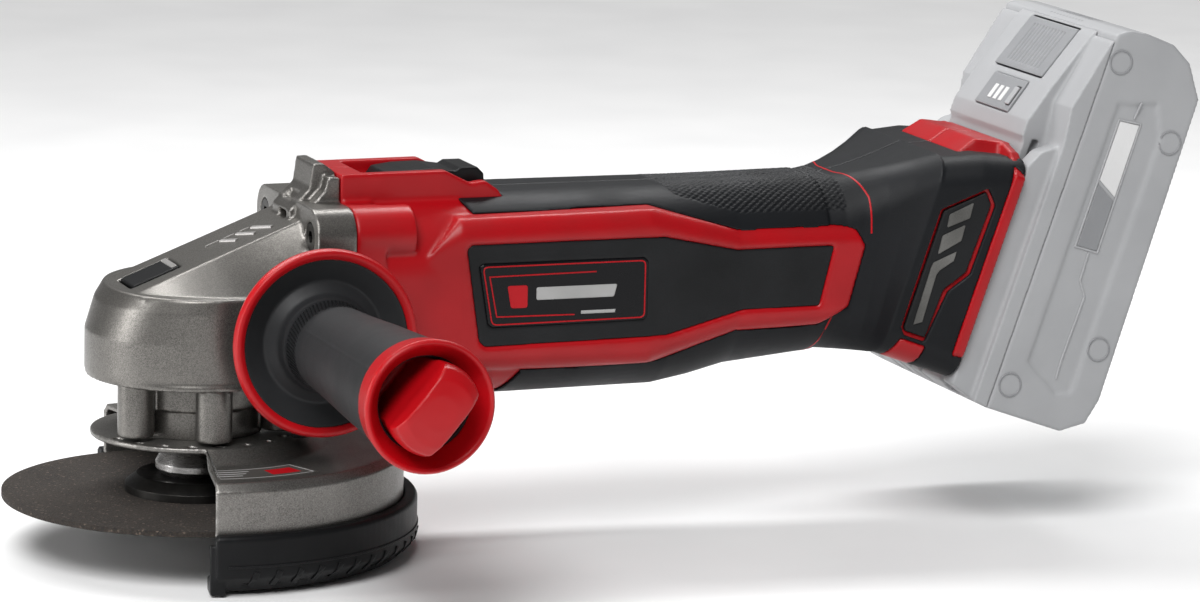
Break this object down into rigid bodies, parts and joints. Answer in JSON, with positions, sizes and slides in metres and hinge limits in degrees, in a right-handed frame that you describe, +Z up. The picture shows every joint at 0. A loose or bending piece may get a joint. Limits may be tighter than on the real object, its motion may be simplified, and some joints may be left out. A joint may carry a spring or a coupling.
{
  "type": "cordless angle grinder",
  "caption": "Battery angle grinder: bevel gear head with guarded cutting disc, two-hand grip with screw-in side handle, slide switch and slide-on battery pack.",
  "frame": {"origin": "centre of the free end of the spindle thread", "axes": "+Z up along the spindle, +X towards the battery, -Y towards the side handle"},
  "size_m": [0.3648, 0.2156, 0.153],
  "materials": {
    "gunmetal": "satin metallic flake paint",
    "guard_steel": "satin metallic paint",
    "steel": "turned",
    "black_steel": "blackened",
    "abrasive": "coarse resin-bonded grit",
    "red_plastic": "satin, fine texture",
    "black_plastic": "matte",
    "rubber": "soft, fine grain",
    "gloss_label": "gloss",
    "textured_panel": "fine texture with grey stripes",
    "pale_plastic": "satin pale grey",
    "pale_key": "satin",
    "magnet": "ground",
    "copper": "enamelled wire",
    "bearing_steel": "ground",
    "carbon": "pressed carbon",
    "board_green": "solder mask",
    "cell_wrap": "shrink sleeve",
    "felt": "felt",
    "contact": "plated"
  },
  "bodies": {
    "root": {"gear_housing": "gunmetal", "bearing_cap": "gunmetal", "cap_screws": "black_steel", "gear_screws": "black_steel", "spindle_bearing": "bearing_steel", "spindle_bush": "bearing_steel", "spindle_seal": "felt", "housing_left": "red_plastic", "housing_right": "red_plastic", "overmould_left": "rubber", "overmould_right": "rubber", "side_panel_left": "black_plastic", "side_panel_right": "black_plastic", "label_plates": "gloss_label", "foot_inserts": "textured_panel", "housing_screws": "black_steel", "motor_can": "steel", "magnets": "magnet", "brush_plate": "black_plastic", "brushes": "carbon", "front_bearing": "bearing_steel", "rear_bearing": "bearing_steel", "switch_module": "black_plastic", "control_board": "board_green", "terminal_block": "black_plastic", "contact_blades": "contact", "battery_rails": "black_plastic", "lever_pin": "steel"},
    "spindle": {"spindle": "steel", "crown_gear": "steel", "inner_flange": "black_steel", "grinding_disc": "abrasive", "flange_nut": "steel"},
    "armature": {"motor_shaft": "steel", "pinion": "steel", "armature_core": "magnet", "windings": "copper", "commutator": "copper", "cooling_fan": "black_plastic"},
    "guard": {"guard_shell": "guard_steel"},
    "cut_cover": {"cut_cover": "black_plastic"},
    "guard_lever": {"guard_lever": "black_plastic"},
    "lock_button": {"lock_button": "black_plastic", "lock_pin": "steel"},
    "switch": {"switch_slider": "black_plastic", "switch_link": "black_plastic"},
    "side_handle": {"handle_stud": "steel", "handle_grip": "black_plastic", "handle_flange_ring": "red_plastic", "handle_end_ring": "red_plastic"},
    "storage_cap": {"storage_cap": "red_plastic"},
    "battery": {"battery_lid": "pale_plastic", "battery_case": "pale_plastic", "battery_cells": "cell_wrap", "battery_board": "board_green", "gauge_panel": "pale_key"},
    "battery_latch": {"battery_latch": "pale_plastic"},
    "gauge_key": {"gauge_key": "pale_key"}
  },
  "joints": [
    {"name": "spindle_spin", "type": "hinge", "parent": "root", "child": "spindle", "pos_m": [0, 0, 0], "axis": [0, 0, 1], "continuous": true},
    {"name": "armature_spin", "type": "hinge", "parent": "root", "child": "armature", "pos_m": [0, 0, 0.071], "axis": [1, 0, 0], "continuous": true},
    {"name": "guard_turn", "type": "hinge", "parent": "root", "child": "guard", "pos_m": [0, 0, 0.03], "axis": [0, 0, 1], "range_deg": [-90, 90]},
    {"name": "cover_clip", "type": "slide", "parent": "guard", "child": "cut_cover", "axis": [0, 0, -1], "range_m": [0, 0.018]},
    {"name": "guard_lever_turn", "type": "hinge", "parent": "root", "child": "guard_lever", "pos_m": [0.0315, -0.018, 0.035], "axis": [0, 0, 1], "range_deg": [0, 12], "stiffness_Nm_per_rad": 0.08},
    {"name": "spindle_lock_press", "type": "slide", "parent": "root", "child": "lock_button", "axis": [0, 0, -1], "range_m": [0, 0.0025], "stiffness_N_per_m": 500},
    {"name": "switch_slide", "type": "slide", "parent": "root", "child": "switch", "axis": [-1, 0, 0], "range_m": [0, 0.006], "stiffness_N_per_m": 300},
    {"name": "handle_unscrew", "type": "slide", "parent": "root", "child": "side_handle", "axis": [0, -1, 0], "range_m": [0, 0.02]},
    {"name": "storage_cap_twist", "type": "hinge", "parent": "side_handle", "child": "storage_cap", "pos_m": [0.0252, -0.136, 0.06485], "axis": [0, -1, 0], "range_deg": [0, 90]},
    {"name": "battery_slide", "type": "slide", "parent": "root", "child": "battery", "axis": [0.3256, 0, 0.9455], "range_m": [0, 0.095]},
    {"name": "battery_latch_press", "type": "slide", "parent": "battery", "child": "battery_latch", "axis": [0.9455, 0, -0.3256], "range_m": [0, 0.003], "stiffness_N_per_m": 600},
    {"name": "gauge_key_press", "type": "slide", "parent": "battery", "child": "gauge_key", "axis": [0.9455, 0, -0.3256], "range_m": [0, 0.0008], "stiffness_N_per_m": 400}
  ],
  "couplings": [
    {"joint": "armature_spin", "follows": "spindle_spin", "ratio": 3.3}
  ]
}
